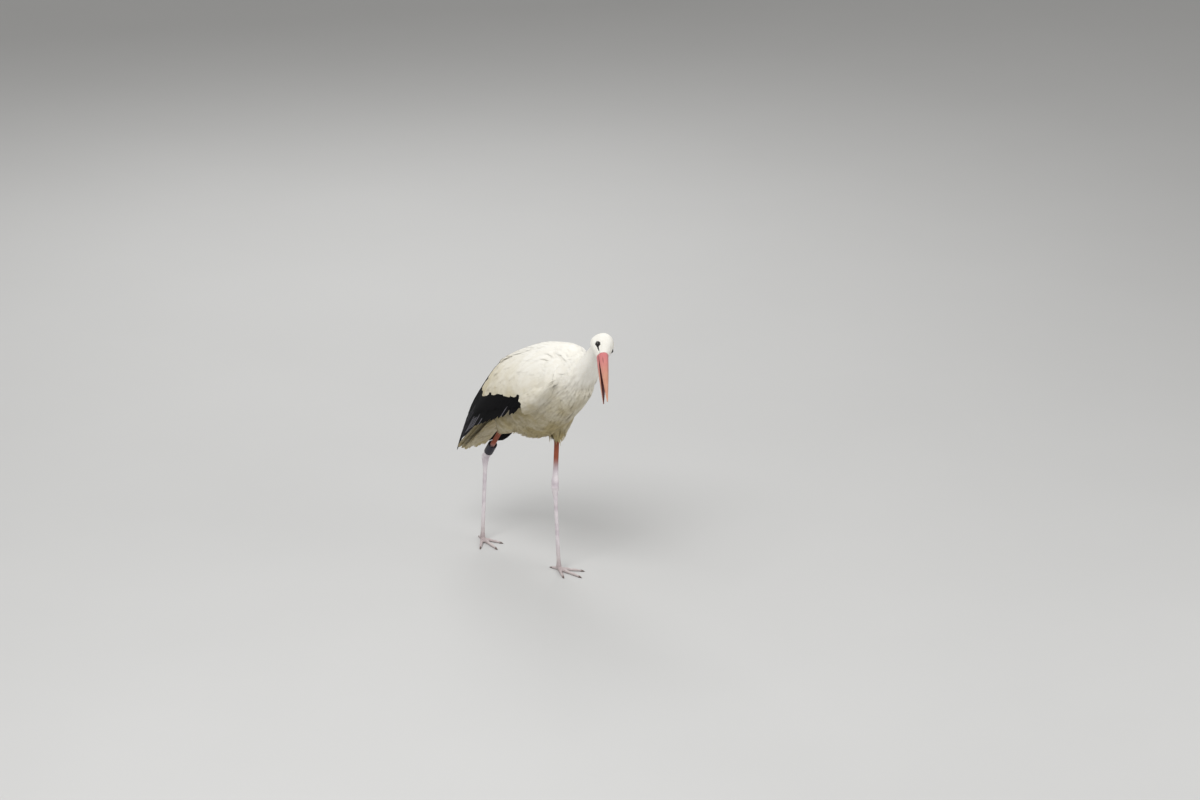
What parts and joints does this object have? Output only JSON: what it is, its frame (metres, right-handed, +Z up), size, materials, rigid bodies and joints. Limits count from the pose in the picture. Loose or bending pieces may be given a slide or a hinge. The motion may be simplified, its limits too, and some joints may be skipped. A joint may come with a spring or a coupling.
{
  "type": "white stork, walking",
  "caption": "Life-size walking white stork with black flight feathers, red bill, pale legs and one dark leg ring, standing on its own flat soles.",
  "frame": {"origin": "on the floor, under the middle of the whole bird's bounding box", "axes": "+X the way the bird walks, +Y to its left, +Z up; the soles lie on z = 0"},
  "size_m": [0.7454, 0.224, 0.7027],
  "materials": {
    "plumage_white": "soft matt white feathers, creamy towards the belly",
    "flight_black": "black flight feathers with a slight gloss and silvery edges",
    "bill_red": "satin salmon-red horn, paler towards the tip",
    "leg_red": "bare scaly skin, orange-red",
    "leg_pale": "bare scaly skin, whitened over pink",
    "claw_dark": "dull dark horn",
    "eye_dark": "wet gloss, very dark brown",
    "ring_dark": "satin dark violet-black, plain"
  },
  "bodies": {
    "root": {"head": "plumage_white", "bill_upper": "bill_red", "bill_lower": "bill_red", "neck_upper": "plumage_white", "neck_lower": "plumage_white", "trunk": "plumage_white", "tail": "plumage_white", "eye_left": "eye_dark", "eye_right": "eye_dark", "wing_left_coverts": "plumage_white", "wing_left_secondaries": "flight_black", "wing_left_primaries": "flight_black", "wing_right_coverts": "plumage_white", "wing_right_secondaries": "flight_black", "wing_right_primaries": "flight_black", "thigh_left": "plumage_white", "tibia_left": "leg_red", "tarsus_left": "leg_pale", "toe_left_middle": "leg_pale", "toe_left_inner": "leg_pale", "toe_left_outer": "leg_pale", "toe_left_hind": "leg_pale", "claw_left_middle": "claw_dark", "claw_left_inner": "claw_dark", "claw_left_outer": "claw_dark", "claw_left_hind": "claw_dark", "thigh_right": "plumage_white", "tibia_right": "leg_red", "tarsus_right": "leg_pale", "toe_right_middle": "leg_pale", "toe_right_inner": "leg_pale", "toe_right_outer": "leg_pale", "toe_right_hind": "leg_pale", "claw_right_middle": "claw_dark", "claw_right_inner": "claw_dark", "claw_right_outer": "claw_dark", "claw_right_hind": "claw_dark", "leg_ring": "ring_dark"}
  },
  "joints": []
}
